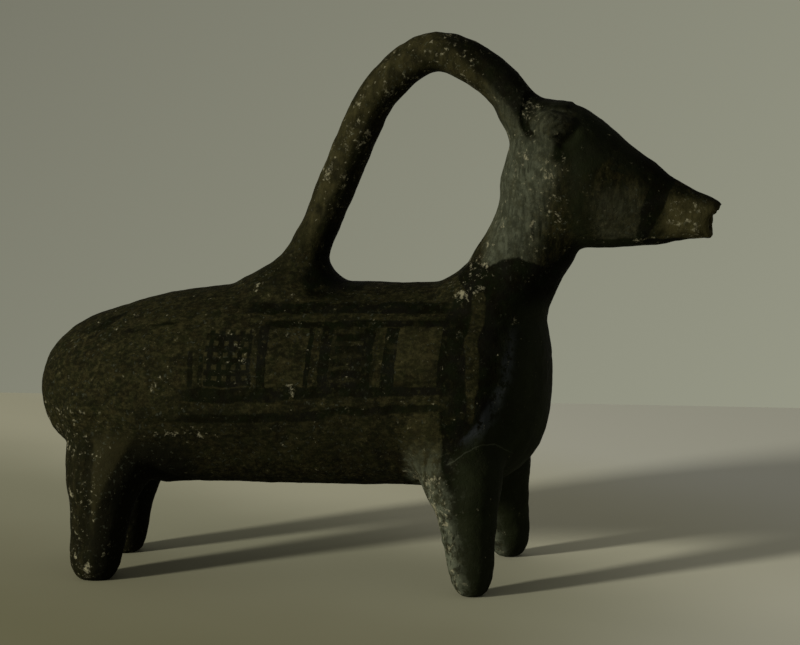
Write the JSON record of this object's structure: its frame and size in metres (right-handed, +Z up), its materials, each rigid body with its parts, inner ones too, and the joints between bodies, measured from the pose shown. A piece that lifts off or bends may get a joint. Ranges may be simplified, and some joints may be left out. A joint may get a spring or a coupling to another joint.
{
  "type": "animal-shaped pouring vessel",
  "caption": "Hollow fired-clay vessel shaped as a long-snouted four-legged animal, with a basket handle from back to nape and an open muzzle for pouring.",
  "frame": {"origin": "centre of the bounding box at the level of the feet", "axes": "+X towards the nose, +Z up, +Y to the animal's left side"},
  "size_m": [0.2, 0.0678, 0.1568],
  "materials": {
    "painted_clay": "matt fired clay with worn dark slip bands and panels",
    "bare_clay": "matt fired clay, rubbed, with pale lime specks"
  },
  "bodies": {
    "root": {"barrel": "painted_clay", "rump_dome": "painted_clay", "chest_dome": "painted_clay", "neck": "bare_clay", "neck_collar": "painted_clay", "skull": "painted_clay", "muzzle": "bare_clay", "ear_left": "painted_clay", "ear_right": "painted_clay", "handle": "painted_clay", "handle_back_root": "painted_clay", "handle_head_root": "painted_clay", "leg_front_left": "bare_clay", "leg_front_right": "bare_clay", "leg_rear_left": "bare_clay", "leg_rear_right": "bare_clay", "pad_front_left": "bare_clay", "pad_front_right": "bare_clay", "pad_rear_left": "bare_clay", "pad_rear_right": "bare_clay"}
  },
  "joints": []
}
